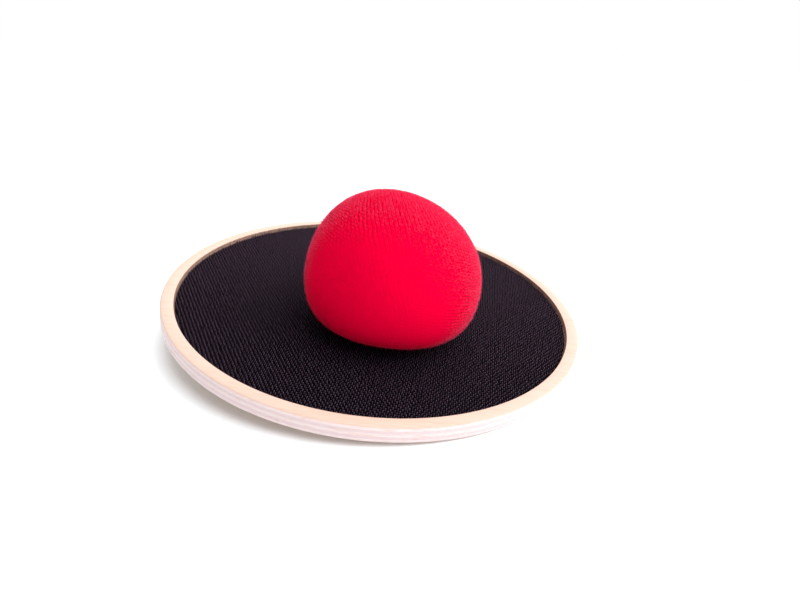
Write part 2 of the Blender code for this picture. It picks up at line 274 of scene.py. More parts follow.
birch, birch_shader = new_finish("sanded_birch_plywood", {"Roughness": 0.58, "IOR": 1.45})
place = add_node(birch, "ShaderNodeTexCoord").outputs["Object"]
place_xyz = split(birch, place)
plies = toned(birch, ranged(birch, place_xyz["Z"], board_low.z, rim_high.z), *ply_bands)
grain_place = scaled(birch, place, (1 / grain_length, 1 / grain_width, 1 / grain_width))
grain = speckle(birch, grain_place, 1.0, Detail=4.0, Roughness=0.6, Distortion=0.35)
grain_tone = toned(birch, grain, (0.30, "#f4e4d8"), (0.52, "#ffffff"), (0.75, "#f8eae0"))
wood = multiplied(birch, grain_share, plies, grain_tone)

flat_place = maths(birch, "MULTIPLY", place, (1, 1, 0), kind="ShaderNodeVectorMath")
reach = maths(birch, "LENGTH", flat_place, kind="ShaderNodeVectorMath", result="Value")
in_disc = ranged(birch, reach, print_radius + print_edge, print_radius)
past_inside = ranged(birch, reach, print_ring[0] - print_edge, print_ring[0])
within_outside = ranged(birch, reach, print_ring[1] + print_edge, print_ring[1])
sideways = maths(birch, "ABSOLUTE", place_xyz["X"])
off_gap = ranged(birch, sideways, print_gap_half, print_gap_half + print_edge)
beside_gap = maths(birch, "MAXIMUM", off_gap, maths(birch, "GREATER_THAN", place_xyz["Y"], 0.0))
ring_band = maths(birch, "MULTIPLY", past_inside, within_outside)
broken_ring = maths(birch, "MULTIPLY", ring_band, beside_gap)
printed = maths(birch, "MAXIMUM", in_disc, broken_ring)
on_back = maths(birch, "LESS_THAN", place_xyz["Z"], board_low.z + near / 2)
ink = maths(birch, "MULTIPLY", maths(birch, "MULTIPLY", printed, on_back), print_cover)
inked = add_node(birch, "ShaderNodeMix", {7: srgb(print_green)}, {0: ink, 6: wood}, data_type="RGBA")
feed(birch, inked.outputs[2], birch_shader, "Base Color")
emboss(birch, birch_shader, grain, 0.35, 0.06 * MM)

# Laser-cut birch: a thin scorched skin, browner where the glue lines and cross plies burnt more.
streak_width = 0.5 * MM
streak_length = 4 * MM
scorched, scorched_shader = new_finish("laser_scorched_birch", {"Roughness": 0.75})
scorch_place = add_node(scorched, "ShaderNodeTexCoord").outputs["Object"]
streak_place = scaled(scorched, scorch_place, (1 / streak_width, 1 / streak_width, 1 / streak_length))
streaks = speckle(scorched, streak_place, 1.0, Detail=3.0)
scorch_level = ranged(scorched, split(scorched, scorch_place)["Z"], board_low.z, rim_high.z)
scorch_plies = toned(scorched, scorch_level, (0.00, "#a08069"), (0.38, "#84634f"), (0.62, "#94735f"),
                     (0.80, "#bca08f"), (0.86, "#876652"), (0.90, "#b8947d"), (0.98, "#c9a992"))
scorch_tone = toned(scorched, streaks, (0.3, "#a08a80"), (0.7, "#ffffff"))
scorch_colour = multiplied(scorched, grain_share, scorch_plies, scorch_tone)
feed(scorched, scorch_colour, scorched_shader, "Base Color")

board.data.materials.append(birch)
board.data.materials.append(scorched)
for face in board.data.polygons:
    corners = [board.data.vertices[corner].co.to_2d() for corner in face.vertices]
    inside = max(corner.length for corner in corners) < cut_reach
    face.material_index = 1 if inside and face.normal.z > -level_normal else 0
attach(board, "paddle")
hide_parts("back_board")


# Rim: a ring of the same plywood, glued round the front of the board so that the hook face lies sunk.
# Its outer edge is sanded round with the board's, and its inner wall keeps the laser's brown.
rim_middle = (rim_low.z + rim_high.z) / 2
rim_rounding = 0.8 * MM
inner_rounding = 0.15 * MM
inner_rounding_steps = 2
outer_reach = 0.99 * board_radius

rim = start_from(bpy.ops.mesh.primitive_cylinder_add, "plywood_rim", vertices=disc_steps, radius=board_radius,
                 depth=rim_high.z - rim_low.z, location=(0, 0, rim_middle))
pick(rim, "FACE", lambda p: abs(p.z - rim_middle) > near)
bpy.ops.mesh.inset(thickness=board_radius - recess_radius)
bpy.ops.mesh.bridge_edge_loops()
leave_edit()
round_edges(rim, lambda p: p.z > rim_high.z - near and p.to_2d().length > outer_reach,
            rim_rounding, rounding_steps)
round_edges(rim, lambda p: p.z > rim_high.z - near and p.to_2d().length < recess_radius + near,
            inner_rounding, inner_rounding_steps)
smooth(rim)
rim.data.materials.append(birch)
rim.data.materials.append(scorched)
for face in rim.data.polygons:
    inside = face.center.to_2d().length < recess_radius + near / 2
    face.material_index = 1 if inside and abs(face.normal.z) < level_normal else 0
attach(rim, "paddle")
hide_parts("rim_ring")


# Adhesive film: a thin clear coat that sticks the hook sheet to the board.
# Only its cut edge shows, as a dull honey line in the gap beside the rim.
film, film_shader = new_finish("clear_adhesive_film", {"Roughness": 0.4})
film_place = add_node(film, "ShaderNodeTexCoord").outputs["Object"]
film_tone = toned(film, speckle(film, film_place, 3 * MM), (0.3, "#b89a72"), (0.7, "#d6bf9a"))
feed(film, film_tone, film_shader, "Base Color")
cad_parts["pad_adhesive"].data.materials.clear()
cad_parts["pad_adhesive"].data.materials.append(film)


# Hook face: black nylon tape with thousands of stiff little hooks, woven in staggered rows.
# The backing is one cut disc, and each hook is a bent filament with its end cut free.
sheet_low, sheet_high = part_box("hook_sheet")
backing_thickness = 0.3 * MM
backing_top = sheet_low.z + backing_thickness
backing_rounding = 0.1 * MM
backing_rounding_steps = 2
filament_radius = 0.19 * MM
filament_sides = 4
arch_radius = 0.33 * MM
arch_steps = 4
arch_turn = math.radians(205)
hook_leg = sheet_high.z - backing_top - arch_radius - filament_radius
hook_pitch = 1.61 * MM
row_spacing = 1.19 * MM
row_turn = math.radians(-5.5)
edge_margin = 0.1 * MM
hook_seed = 7
hook_turn_spread = math.radians(10)
hook_lean_spread = 0.055
hook_shortest = 0.97


def steady_faces(mesh):
    """A mesh's faces as lists of corners, in an order that is the same in every run."""
    faces = []
    for face in mesh.polygons:
        corners = list(face.vertices)
        first = corners.index(min(corners))
        faces.append(corners[first:] + corners[:first])
    return sorted(faces)


backing = start_from(bpy.ops.mesh.primitive_cylinder_add, "hook_tape_backing", vertices=disc_steps,
                     radius=pad_radius, depth=backing_thickness,
                     location=(0, 0, sheet_low.z + backing_thickness / 2))
round_edges(backing, lambda p: p.z > backing_top - near / 2, backing_rounding, backing_rounding_steps)
smooth(backing)

hook = start_from(bpy.ops.mesh.primitive_circle_add, "hook", vertices=filament_sides, radius=filament_radius,
                  fill_type="NGON")
bpy.ops.object.mode_set(mode="EDIT")
bpy.ops.mesh.select_all(action="SELECT")
bpy.ops.mesh.extrude_region_move(TRANSFORM_OT_translate={"value": (0, 0, hook_leg)})
bpy.ops.mesh.spin(steps=arch_steps, angle=arch_turn, center=(arch_radius, 0, hook_leg), axis=(0, 1, 0))
bpy.ops.mesh.select_all(action="SELECT")
bpy.ops.mesh.remove_doubles(threshold=0.001 * MM)
bpy.ops.mesh.normals_make_consistent(inside=False)
leave_edit()
hook_points = np.array([corner.co for corner in hook.data.vertices])
hook_faces = steady_faces(hook.data)
bpy.data.objects.remove(hook)


def mesh_piece(name, points, faces, attribute, values):
    """A smooth mesh of these points and faces, with one number for each point as an attribute."""
    mesh = bpy.data.meshes.new(name)
    mesh.from_pydata(points.tolist(), [], faces)
    mesh.attributes.new(attribute, "FLOAT", "POINT").data.foreach_set("value", values)
    mesh.shade_smooth()
    piece = bpy.data.objects.new(name, mesh)
    bpy.context.collection.objects.link(piece)
    return piece


def plant_hooks(name, places, scale=1.0):
    """One mesh of a hook at each place (x, y, z, facing), every one a little turned and leaning."""
    jitter = np.random.default_rng(hook_seed)
    points = []
    faces = []
    level = (hook_points[:, 2] / hook_points[:, 2].max()).tolist()
    for index, (x, y, z, facing) in enumerate(places):
        turn = facing + jitter.normal(0, hook_turn_spread)
        lean = jitter.normal(0, hook_lean_spread, 2)
        ahead, aside, up = (hook_points * scale * jitter.uniform(hook_shortest, 1.0)).T
        points.append(np.column_stack([
            x + ahead * math.cos(turn) - aside * math.sin(turn) + lean[0] * up,
            y + ahead * math.sin(turn) + aside * math.cos(turn) + lean[1] * up,
            z + up]))
        first = index * len(hook_points)
        faces.extend([first + corner for corner in face] for face in hook_faces)
    return mesh_piece(name, np.concatenate(points), faces, "hook_level", level * len(places))


row_count = int(pad_radius / row_spacing) + 1
column_count = int(pad_radius / hook_pitch) + 2
hook_places = {"left": [], "middle": [], "right": []}
third = 0.27 * pad_radius
facing = row_turn + math.pi / 2
for row in range(-row_count, row_count + 1):
    for column in range(-column_count, column_count + 1):
        along = (column + 0.5 * (row % 2)) * hook_pitch
        across = row * row_spacing
        x = along * math.cos(row_turn) - across * math.sin(row_turn)
        y = along * math.sin(row_turn) + across * math.cos(row_turn)
        root = Vector((x - arch_radius * math.cos(facing), y - arch_radius * math.sin(facing)))
        if Vector((x, y)).length < pad_radius - edge_margin:
            part = "left" if x < -third else "right" if x > third else "middle"
            hook_places[part].append((root.x, root.y, backing_top, facing))

# Black nylon, extruded and heat set: smooth filaments with a soft gloss and a faint plum cast,
# painted paler on top as a highlight and darker down among the stems as shade.
nylon, nylon_shader = new_finish("black_nylon_hook_tape",
                                 {"Roughness": 0.5, "Specular IOR Level": 0.12, "IOR": 1.53})
nylon_place = add_node(nylon, "ShaderNodeTexCoord").outputs["Object"]
nylon_cloud = speckle(nylon, nylon_place, 0.9 * MM, Detail=2.0)
nylon_tone = toned(nylon, nylon_cloud, (0.35, "#4d3a4c"), (0.65, "#705b6f"))
nylon_level = add_node(nylon, "ShaderNodeAttribute", attribute_name="hook_level").outputs["Fac"]
# Painted light: each hook goes from painted shade at its foot to a painted highlight at its top.
hook_painted_light = toned(nylon, nylon_level, (0.50, "#675567"), (0.95, "#ece8ec"))
feed(nylon, multiplied(nylon, 1.0, nylon_tone, hook_painted_light), nylon_shader, "Base Color")

# The woven ground between the hooks: the same nylon, matt, and painted near black as the shade down among the
# hooks.
# At a scale of 1 the wave texture repeats every 0.314 m.
ground_rib = 0.6 * MM
wave_repeat = 0.314
ground, ground_shader = new_finish("black_nylon_ground_painted_shade", {"Roughness": 0.8, "Specular IOR Level": 0.02})
ground_place = add_node(ground, "ShaderNodeTexCoord").outputs["Object"]
ground_turn = add_node(ground, "ShaderNodeMapping", {"Rotation": (0, 0, -row_turn)}, {"Vector": ground_place})
ground_ribs = add_node(ground, "ShaderNodeTexWave",
                       {"Scale": wave_repeat / ground_rib, "Distortion": 0.6, "Detail": 1.0},
                       {"Vector": ground_turn.outputs["Vector"]}, bands_direction="Y").outputs["Fac"]
# Painted shade: the ground is coloured near black, darkest in the hollows of its ribs.
feed(ground, toned(ground, ground_ribs, (0.2, "#030203"), (0.8, "#0b070b")), ground_shader, "Base Color")
emboss(ground, ground_shader, ground_ribs, 0.5, 0.1 * MM)

backing.data.materials.append(ground)
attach(backing, "paddle")
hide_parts("hook_sheet")
for part, places in hook_places.items():
    hooks = plant_hooks(f"hooks_{part}", places)
    hooks.data.materials.append(nylon)
    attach(hooks, "paddle")


# Hand strap, right half: black webbing from the palm's middle up the inner slot, round the bridge of
# wood, down the outer slot and back under the bridge, where its end is sewn to itself.
crown_middle = (crown_low.z + crown_high.z) / 2
crown_half = crown_high.x
wrap_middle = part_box("strap_bridge_wrap")[1].z - strap_thickness / 2
lap_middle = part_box("strap_sewn_loop")[0].z + strap_thickness / 2
lap_end = inner_slot + strap_thickness / 2 + 0.3 * MM
bend_radius = 1.3 * MM
station_gap = 0.45 * MM
least_step = 1e-7
strap_columns = 24
scallop_pitch = 4.6 * MM
scallop_depth = 0.45 * MM
selvedge_rounding = 0.22
selvedge_angle = math.radians(60)
weave_span = 200 * MM


def arc(centre, start, turn, steps=8):
    """Points (x, z) round a bend of the webbing's middle line, angles in degrees."""
    angles = [math.radians(start + turn * step / steps) for step in range(steps + 1)]
    return [(centre[0] + bend_radius * math.cos(a), centre[1] + bend_radius * math.sin(a)) for a in angles]


def drape(start, start_pull, end_pull, end, steps=24):
    """Points (x, z) on a cubic curve that hangs between two places."""
    corners = np.array([start, start_pull, end_pull, end])
    t = np.linspace(0, 1, steps + 1)[:, None]
    weights = np.hstack([(1 - t) ** 3, 3 * t * (1 - t) ** 2, 3 * t * t * (1 - t), t ** 3])
    return [tuple(point) for point in weights @ corners]


def even_stations(line):
    """The line's points again, at even spacing, with the distance run so far."""
    line = np.array(line)
    steps = np.linalg.norm(np.diff(line, axis=0), axis=1)
    keep = np.concatenate([[True], steps > least_step])
    line = line[keep]
    run = np.concatenate([[0], np.cumsum(np.linalg.norm(np.diff(line, axis=0), axis=1))])
    count = max(2, round(run[-1] / station_gap))
    places = np.linspace(0, run[-1], count + 1)
    return np.column_stack([np.interp(places, run, line[:, 0]), np.interp(places, run, line[:, 1])]), places


def webbing(name, line, width, thickness, run_start=0.0, scallop=scallop_depth):
    """A strip of webbing along a middle line of (x, z) points, with a scalloped far edge."""
    stations, run = even_stations(line)
    piece = start_from(bpy.ops.mesh.primitive_grid_add, name, x_subdivisions=len(stations) - 1,
                       y_subdivisions=strap_columns, size=1.0)
    uv = piece.data.uv_layers.active.data
    shares = np.array([corner.co for corner in piece.data.vertices])
    station = np.rint((shares[:, 0] + 0.5) * (len(stations) - 1)).astype(int)
    distance = run[station] + run_start
    wave = 0.5 + 0.5 * np.cos(2 * np.pi * distance / scallop_pitch)
    y = shares[:, 1] * width - np.clip(shares[:, 1] * 2, 0, 1) ** 3 * scallop * wave
    for corner, spot, across in zip(piece.data.vertices, stations[station], y):
        corner.co = (spot[0], across, spot[1])
    for loop in piece.data.loops:
        corner = loop.vertex_index
        uv[loop.index].uv = (distance[corner] / weave_span, 0.5 + shares[corner, 1] * width / weave_span)
    finish_with(piece, "SOLIDIFY", thickness=thickness, offset=0.0, use_even_offset=True)
    finish_with(piece, "BEVEL", width=selvedge_rounding * thickness, segments=3, limit_method="ANGLE",
                angle_limit=selvedge_angle)
    bpy.ops.object.mode_set(mode="EDIT")
    bpy.ops.mesh.select_all(action="SELECT")
    bpy.ops.mesh.normals_make_consistent(inside=False)
    leave_edit()
    smooth(piece, angle=50)
    return piece


leg_level_share = 0.55
leg_steep_share = 0.75
leg_run = inner_slot - crown_half
slot_mouth = (inner_slot, board_low.z)
leg_rise = board_low.z - crown_middle
leg = drape((crown_half, crown_middle), (crown_half + leg_level_share * leg_run, crown_middle),
            (inner_slot, board_low.z - leg_steep_share * leg_rise), slot_mouth)
over_bridge = arc((inner_slot + bend_radius, wrap_middle - bend_radius), 180, -90)
over_bridge += arc((outer_slot - bend_radius, wrap_middle - bend_radius), 90, -90)
half_strap = [(0.0, crown_middle)] + leg + over_bridge
sewn_end = arc((outer_slot - bend_radius, lap_middle + bend_radius), 0, -90) + [(lap_end, lap_middle)]

# Polypropylene webbing, woven dull black: ribbed along its length, with a faint sheen, and painted darker in
# the hollows of its weave as shade.
webbing_rib = 0.95 * MM
webbing_pick = 0.75 * MM
pick_share = 0.35
webbed, webbed_shader = new_finish("black_woven_webbing", {"Roughness": 0.8, "Sheen Weight": 0.15})
webbed_uv = add_node(webbed, "ShaderNodeUVMap").outputs["UV"]
weave_scale = (weave_span / webbing_pick, weave_span / webbing_rib, 1.0)
webbed_xy = split(webbed, scaled(webbed, webbed_uv, weave_scale))
half_step = maths(webbed, "MULTIPLY_ADD", maths(webbed, "FLOOR", webbed_xy["Y"]), 0.5, webbed_xy["X"])
pick_wave = maths(webbed, "SINE", maths(webbed, "MULTIPLY", half_step, 2 * math.pi))
rib_wave = maths(webbed, "SINE", maths(webbed, "MULTIPLY", webbed_xy["Y"], math.pi))
rib_height = maths(webbed, "MULTIPLY_ADD", pick_wave, pick_share, maths(webbed, "ABSOLUTE", rib_wave))
# Painted shade: the weave is coloured darker down in its hollows and paler on its ribs.
feed(webbed, toned(webbed, rib_height, (0.1, "#121013"), (0.9, "#38343a")), webbed_shader, "Base Color")
emboss(webbed, webbed_shader, rib_height, 0.8, 0.22 * MM)

strap_right = webbing("strap_right_half", half_strap + sewn_end, strap_width, strap_thickness)
strap_right.data.materials.append(webbed)
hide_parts("strap_sewn_loop", "strap_right_leg", "strap_crown")
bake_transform(strap_right)


# Hand strap, left half and tail: the same webbing through the other pair of slots, not sewn, so that
# its tail comes back under the strap as far as the line where the loose end folds.
flap_low, flap_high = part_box("tail_flap")
flap_middle = (flap_low.z + flap_high.z) / 2
tail_steep_share = 0.8
tail_level_share = 0.7
tail_run = outer_slot - crown_half
tail_rise = board_low.z - flap_middle
tail = drape((outer_slot, board_low.z), (outer_slot, board_low.z - tail_steep_share * tail_rise),
             (crown_half + tail_level_share * tail_run, flap_middle), (crown_half, flap_middle))
left_line = [(-x, z) for x, z in half_strap + tail]
strap_left = webbing("strap_left_half", left_line, strap_width, strap_thickness, run_start=scallop_pitch / 2)
strap_left.data.materials.append(webbed)
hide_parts("strap_bridge_wrap", "strap_left_leg", "strap_tail_leg")
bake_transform(strap_left)


# Loose end of the tail: peels off the strap at its fold line, with a patch of small hooks sewn on.
# Its cut end is rounded a little, like the rest of the webbing's edges.
patch_low, patch_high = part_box("tail_hook_patch")
patch_weave = 0.3 * MM
patch_hook_scale = (patch_high.z - patch_low.z - patch_weave) / (sheet_high.z - backing_top)
flap_line = [(-crown_half, flap_middle), (flap_high.x, flap_middle)]
flap = webbing("tail_loose_end", flap_line, strap_width, strap_thickness, scallop=0.0)
flap.data.materials.append(webbed)
patch_line = [(patch_low.x, patch_low.z + patch_weave / 2), (patch_high.x, patch_low.z + patch_weave / 2)]
patch = webbing("tail_patch_backing", patch_line, patch_high.y - patch_low.y, patch_weave, scallop=0.0)
# The patch's backing takes the ground's finish, painted near black as shade.
patch.data.materials.append(ground)
patch_hook_gap = 1.1 * MM
patch_places = []
for row in range(int((patch_high.y - patch_low.y) / patch_hook_gap) - 1):
    for column in range(int((patch_high.x - patch_low.x) / patch_hook_gap) - 1):
        x = patch_low.x + (column + 1 + 0.5 * (row % 2)) * patch_hook_gap
        y = patch_low.y + (row + 1) * patch_hook_gap
        patch_places.append((x, y, patch_low.z + patch_weave, math.pi * (row % 2)))
patch_hooks = plant_hooks("tail_patch_hooks", patch_places, patch_hook_scale)
patch_hooks.data.materials.append(nylon)
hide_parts("tail_flap")
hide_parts("tail_hook_patch")
for piece in (flap, patch, patch_hooks):
    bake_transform(piece)


# Bar tacks: two dense zigzag bars of black thread that sew the strap's fixed end down.
# A row of running stitches in the same thread holds the hook patch on the tail.
thread_radius = 0.2 * MM
zigzag_step = 0.55 * MM
stitch_length = 1.9 * MM
stitch_gap = 0.8 * MM
stitch_inset = 1.0 * MM
stitch_bend = 0.2
stitch_proud = 0.5 * thread_radius
seam_radius = 0.7 * thread_radius


def thread(name, runs, radius):
    """Thread laid along one or more runs of points, as one mesh."""
    line = bpy.data.curves.new(name, "CURVE")
    line.dimensions = "3D"
    line.bevel_depth = radius
    line.bevel_resolution = 2
    line.use_fill_caps = True
    for run in runs:
        spline = line.splines.new("POLY")
        spline.points.add(len(run) - 1)
        for point, place in zip(spline.points, run):
            point.co = (*place, 1)
    strand = bpy.data.objects.new(name, line)
    bpy.context.collection.objects.link(strand)
    bpy.ops.object.select_all(action="DESELECT")
    strand.select_set(True)
    bpy.context.view_layer.objects.active = strand
    bpy.ops.object.convert(target="MESH")
    smooth(bpy.context.object, angle=60)
    return bpy.context.object


def spun_thread(name, dark, light):
    """A finish of spun polyester thread: uneven along its twist, with a little gloss."""
    material, shader = new_finish(name, {"Roughness": 0.55})
    spot = add_node(material, "ShaderNodeTexCoord").outputs["Object"]
    twist = speckle(material, spot, 0.25 * MM, Detail=2.0)
    feed(material, toned(material, twist, (0.3, dark), (0.7, light)), shader, "Base Color")
    emboss(material, shader, twist, 0.6, 0.05 * MM)
    return material


black_thread = spun_thread("black_polyester_thread", "#0f0d10", "#2c292e")
for node in ("bar_tack_inner", "bar_tack_outer"):
    tack_low, tack_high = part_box(node)
    count = round((tack_high.y - tack_low.y) / zigzag_step)
    zigzag = []
    for step in range(count + 1):
        x = tack_low.x if step % 2 else tack_high.x
        y = tack_low.y + (tack_high.y - tack_low.y) * step / count
        zigzag.append((x, y, (tack_low.z + tack_high.z) / 2))
    tack = thread(f"stitched_{node}", [zigzag], thread_radius)
    tack.data.materials.append(black_thread)
    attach(tack, "paddle")
    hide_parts(node)

seam_low = patch_low + Vector((stitch_inset, stitch_inset, 0))
seam_high = patch_high - Vector((stitch_inset, stitch_inset, 0))
seam_level = patch_low.z + patch_weave
seam_corners = [Vector((seam_low.x, seam_low.y)), Vector((seam_high.x, seam_low.y)),
                Vector((seam_high.x, seam_high.y)), Vector((seam_low.x, seam_high.y))]
seam = []
for corner, next_corner in zip(seam_corners, seam_corners[1:] + seam_corners[:1]):
    side = next_corner - corner
    count = round(side.length / (stitch_length + stitch_gap))
    share = stitch_length / (stitch_length + stitch_gap)
    for step in range(count):
        parts = (0, stitch_bend * share, (1 - stitch_bend) * share, share)
        ends = [corner + side * (step + part) / count for part in parts]
        seam.append([(*ends[0], seam_level - thread_radius), (*ends[1], seam_level + stitch_proud),
                     (*ends[2], seam_level + stitch_proud), (*ends[3], seam_level - thread_radius)])
patch_seam = thread("tail_patch_seam", seam, seam_radius)
patch_seam.data.materials.append(black_thread)
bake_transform(patch_seam)


# Ball: a soft wad of filling in one piece of red knitted fabric, drawn together behind.
# It squashes flat where it sits on the hooks, and its pile stands up as a faint fuzz.
ball_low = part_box("ball_cover")[0]
ball_radius = 35.1 * MM
ball_rise = 33.9 * MM
ball_sink = 19.7 * MM
flat_blend = 16.1 * MM
ball_taper = 0.077
ball_lean = -0.035
ball_middle = Vector((6.3 * MM, -22.0 * MM, ball_low.z + ball_sink))
three_swells = 0.98 * MM
three_swells_turn = -0.281
four_swells = 0.39 * MM
four_swells_turn = -2.337
gather_depth = 3.0 * MM
gather_spread = 8.0 * MM
pleat_count = 17
pleat_depth = 0.9 * MM
pleat_reach = 0.55
pleat_start = 0.1
pleat_wander = 0.25
knit_closed = ((Vector((-0.25, -0.92, -0.05)), (45, 75)), (Vector((0, 1, 0)), (30, 62)))
least_open = 0.05
ball_spokes = 224
ball_rings = 160


def ball_surface(ray):
    """A point of the ball's skin along a ray from its middle, with pleats running into the gather at +Y."""
    polar = math.acos(max(-1.0, min(1.0, ray.y)))
    spoke = math.atan2(ray.x, ray.z)
    dip = gather_depth * math.exp(-(ball_radius * polar / gather_spread) ** 2)
    pleat = math.exp(-(polar / pleat_reach) ** 2) * min(1.0, polar / pleat_start)
    wander = spoke + pleat_wander * math.sin(3 * spoke)
    dip += pleat_depth * pleat * (0.5 - 0.5 * math.cos(pleat_count * wander))
    three = three_swells * math.cos(3 * spoke - three_swells_turn)
    four = four_swells * math.cos(4 * spoke - four_swells_turn)
    swell = (three + four) * math.sin(polar) ** 2
    across = (ball_radius + swell) * (1 + ball_taper * ray.z) - dip
    height = ray.z * (ball_rise + swell)
    if height < -ball_sink - flat_blend:
        height = -ball_sink
    elif height < -ball_sink + flat_blend:
        height = -ball_sink + (height + ball_sink + flat_blend) ** 2 / (4 * flat_blend)
    return ball_middle + Vector((ray.x * across + ball_lean * height, ray.y * across, height))


ball = start_from(bpy.ops.mesh.primitive_uv_sphere_add, "knitted_ball", segments=ball_spokes,
                  ring_count=ball_rings, radius=1.0, rotation=(-math.pi / 2, 0, 0))
# The sphere's faces come in another order each run, so the ball is made again with them in a steady one.
ball_corners = [corner.co.copy() for corner in ball.data.vertices]
ball_faces = steady_faces(ball.data)
ball.data.clear_geometry()
ball.data.from_pydata(ball_corners, [], ball_faces)
ball.data.uv_layers.new(name="UVMap")
rays = [corner.co.normalized() for corner in ball.data.vertices]
knit_uv = ball.data.uv_layers.active.data
for loop in ball.data.loops:
    ray = rays[loop.vertex_index]
    away = math.acos(max(-1.0, min(1.0, -ray.y))) / (2 * math.pi)
    spoke = math.atan2(ray.x, ray.z)
    knit_uv[loop.index].uv = (0.5 + away * math.sin(spoke), 0.5 + away * math.cos(spoke))
# How open the knit is: closed round each of these ways up to the first angle, and open from the second on.
openness = []
for ray in rays:
    openness.append(1.0)
    for way, (closed, opened) in knit_closed:
        share = (math.degrees(ray.angle(way)) - closed) / (opened - closed)
        openness[-1] = max(least_open, min(openness[-1], share))
ball.data.attributes.new("open_knit", "FLOAT", "POINT").data.foreach_set("value", openness)
for corner, ray in zip(ball.data.vertices, rays):
    corner.co = ball_surface(ray)
smooth(ball, angle=180)

# Knitted polyester, red and slightly brushed: rows of small stitches with a soft sheen and no gloss, and
# painted shade in their hollows.
# They are closed to one even tone on the front, a little left of its middle, and round the gather,
# and open over the top and the sides. One unit of the UV map is once round the ball.
stitch_width = 1.86 * MM
stitch_height = 1.56 * MM
wale_skew = math.tan(math.radians(18)) * stitch_height / stitch_width
course_skew = math.tan(math.radians(15)) * stitch_width / stitch_height
course_peak = 0.3
knit_round = 2 * math.pi * ball_radius
knit_drift = (0.7, 0.7, 0.0)
drift_scale = 0.45
ridge_pull = 0.95
ridge_least = 0.14
closed_tone = 0.7
knit, knit_shader = new_finish("red_knitted_polyester", {
    "Roughness": 0.9, "Specular IOR Level": 0.0, "Sheen Weight": 0.32, "Sheen Roughness": 0.24,
    "Sheen Tint": srgb("#ff84a8")})
knit_map = add_node(knit, "ShaderNodeUVMap").outputs["UV"]
knit_place = scaled(knit, knit_map, (knit_round / stitch_width, knit_round / stitch_height, 1.0))
knit_cloud = add_node(knit, "ShaderNodeTexNoise", {"Scale": drift_scale, "Detail": 1.0},
                      {"Vector": knit_place})
knit_xy = split(knit, maths(knit, "MULTIPLY_ADD", knit_cloud.outputs["Color"], knit_drift, knit_place,
                            kind="ShaderNodeVectorMath"))
wale = maths(knit, "MULTIPLY_ADD", knit_xy["Y"], wale_skew, knit_xy["X"])
course_row = maths(knit, "MULTIPLY_ADD", knit_xy["X"], course_skew, knit_xy["Y"])
course = maths(knit, "MULTIPLY_ADD", maths(knit, "PINGPONG", wale, 0.5), course_peak, course_row)
from_middle = maths(knit, "SUBTRACT", knit_map, (0.5, 0.5, 0), kind="ShaderNodeVectorMath")
outwards = maths(knit, "NORMALIZE", from_middle, kind="ShaderNodeVectorMath")
pull = split(knit, maths(knit, "MULTIPLY", outwards, outwards, kind="ShaderNodeVectorMath"))
ridges = []
for across, share in ((wale, pull["Y"]), (course, pull["X"])):
    wave = maths(knit, "SINE", maths(knit, "MULTIPLY", across, math.pi))
    force = maths(knit, "MULTIPLY_ADD", share, ridge_pull, ridge_least)
    ridges.append(maths(knit, "POWER", maths(knit, "ABSOLUTE", wave), force))
hollow = maths(knit, "SUBTRACT", maths(knit, "MULTIPLY", *ridges), closed_tone)
open_knit = add_node(knit, "ShaderNodeAttribute", attribute_name="open_knit").outputs["Fac"]
stitch_relief_and_shade = maths(knit, "MULTIPLY_ADD", hollow, open_knit, closed_tone)
# Painted shade: the stitches' hollows are coloured darker than their ridges, only where the knit is open.
feed(knit, toned(knit, stitch_relief_and_shade, (0.20, "#b80027"), (0.80, "#ee0035")), knit_shader, "Base Color")
emboss(knit, knit_shader, stitch_relief_and_shade, 1.0, 0.33 * MM)
ball.data.materials.append(knit)
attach(ball, "ball")
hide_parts("ball_cover", "ball_filling")


# Fuzz: short fibres brushed up out of the knit, each a thin spike that leans its own way.
# They are fewer and redder where the knit is closed, and paler where it is open, a painted sheen for the
# light they catch along the ball's edge. None grow at the foot, where the ball is pressed on the hooks.
fuzz_count = 40000
fuzz_seed = 11
fuzz_length = (0.3 * MM, 1.1 * MM)
fuzz_thickness = 0.045 * MM
fuzz_scatter = 0.55
closed_share = 0.3
bare_foot = 3 * MM
spike = start_from(bpy.ops.mesh.primitive_cone_add, "fibre", vertices=3, radius1=1.0, radius2=0.0, depth=1.0,
                   location=(0, 0, 0.5))
spike_points = np.array([corner.co for corner in spike.data.vertices])
spike_faces = np.array([list(face.vertices) for face in spike.data.polygons])
bpy.data.objects.remove(spike)

chance = np.random.default_rng(fuzz_seed)
ball.data.calc_loop_triangles()
skin = np.array([corner.co for corner in ball.data.vertices])
skin_out = np.array([corner.normal for corner in ball.data.vertices])
skin_open = np.array(openness)
patches = np.array([triangle.vertices for triangle in ball.data.loop_triangles])
patch_area = np.array([triangle.area for triangle in ball.data.loop_triangles])
patch_area[skin[patches][:, :, 2].min(axis=1) < ball_low.z + bare_foot] = 0.0
patch_area *= closed_share + (1 - closed_share) * skin_open[patches].mean(axis=1)
chosen = patches[chance.choice(len(patches), fuzz_count, p=patch_area / patch_area.sum())]
shares = chance.dirichlet((1, 1, 1), fuzz_count)[:, :, None]
roots = (skin[chosen] * shares).sum(axis=1)
tips = (skin_out[chosen] * shares).sum(axis=1) + chance.normal(0, fuzz_scatter, (fuzz_count, 3))
tips /= np.linalg.norm(tips, axis=1, keepdims=True)
sides = np.cross(tips, chance.normal(0, 1, (fuzz_count, 3)))
sides /= np.linalg.norm(sides, axis=1, keepdims=True)
others = np.cross(tips, sides)
lengths = chance.uniform(*fuzz_length, fuzz_count)[:, None, None]
fibres = roots[:, None, :] + fuzz_thickness * (spike_points[None, :, :1] * sides[:, None, :]
                                               + spike_points[None, :, 1:2] * others[:, None, :])
fibres += lengths * spike_points[None, :, 2:] * tips[:, None, :]
